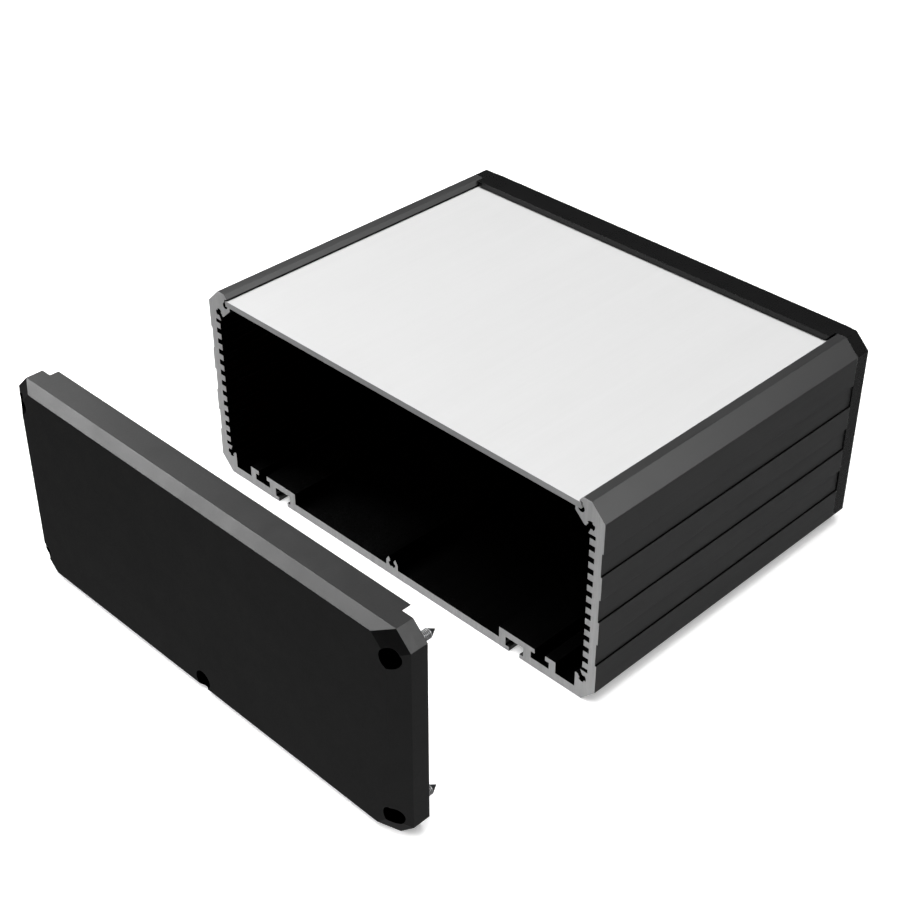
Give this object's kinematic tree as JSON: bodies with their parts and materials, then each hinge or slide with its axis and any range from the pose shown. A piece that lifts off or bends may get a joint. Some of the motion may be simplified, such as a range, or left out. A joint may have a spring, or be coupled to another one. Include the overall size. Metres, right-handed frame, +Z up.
{
  "type": "extruded enclosure",
  "caption": "Black extruded aluminium case with board guide combs, a bare slide-in lid and bevelled end covers, the front one taken off to show the ribbed inside.",
  "frame": {"origin": "centre of the body's flat underside, halfway along the extrusion", "axes": "+X across the width, +Y along the extrusion from the front cover to the rear cover, +Z up from the underside to the lid"},
  "size_m": [0.1662, 0.1997, 0.07],
  "materials": {
    "black_anodised": "satin black anodised with bare cut ends",
    "natural_aluminium": "matt natural anodised",
    "black_cover": "fine satin black coating",
    "screw_steel": "bright plated"
  },
  "bodies": {
    "shell": {"body_profile": "black_anodised"},
    "lid": {"lid_plate": "natural_aluminium"},
    "front_end": {"front_cover": "black_cover", "front_screw_upper_right": "screw_steel", "front_screw_lower_right": "screw_steel", "front_screw_lower_centre": "screw_steel", "front_screw_lower_left": "screw_steel", "front_screw_upper_left": "screw_steel"},
    "rear_end": {"rear_cover": "black_cover", "rear_screw_upper_right": "screw_steel", "rear_screw_lower_right": "screw_steel", "rear_screw_lower_centre": "screw_steel", "rear_screw_lower_left": "screw_steel", "rear_screw_upper_left": "screw_steel"}
  },
  "joints": [
    {"name": "front_cover_slide", "type": "slide", "parent": "shell", "child": "front_end", "axis": [0, 1, 0], "range_m": [0, 0.06525]},
    {"name": "rear_cover_slide", "type": "slide", "parent": "shell", "child": "rear_end", "axis": [0, 1, 0], "range_m": [0, 0.25]},
    {"name": "lid_slide", "type": "slide", "parent": "shell", "child": "lid", "axis": [0, 1, 0], "range_m": [0, 0.125]}
  ],
  "couplings": [
    {"joint": "lid_slide", "follows": "rear_cover_slide", "ratio": 0.5}
  ]
}
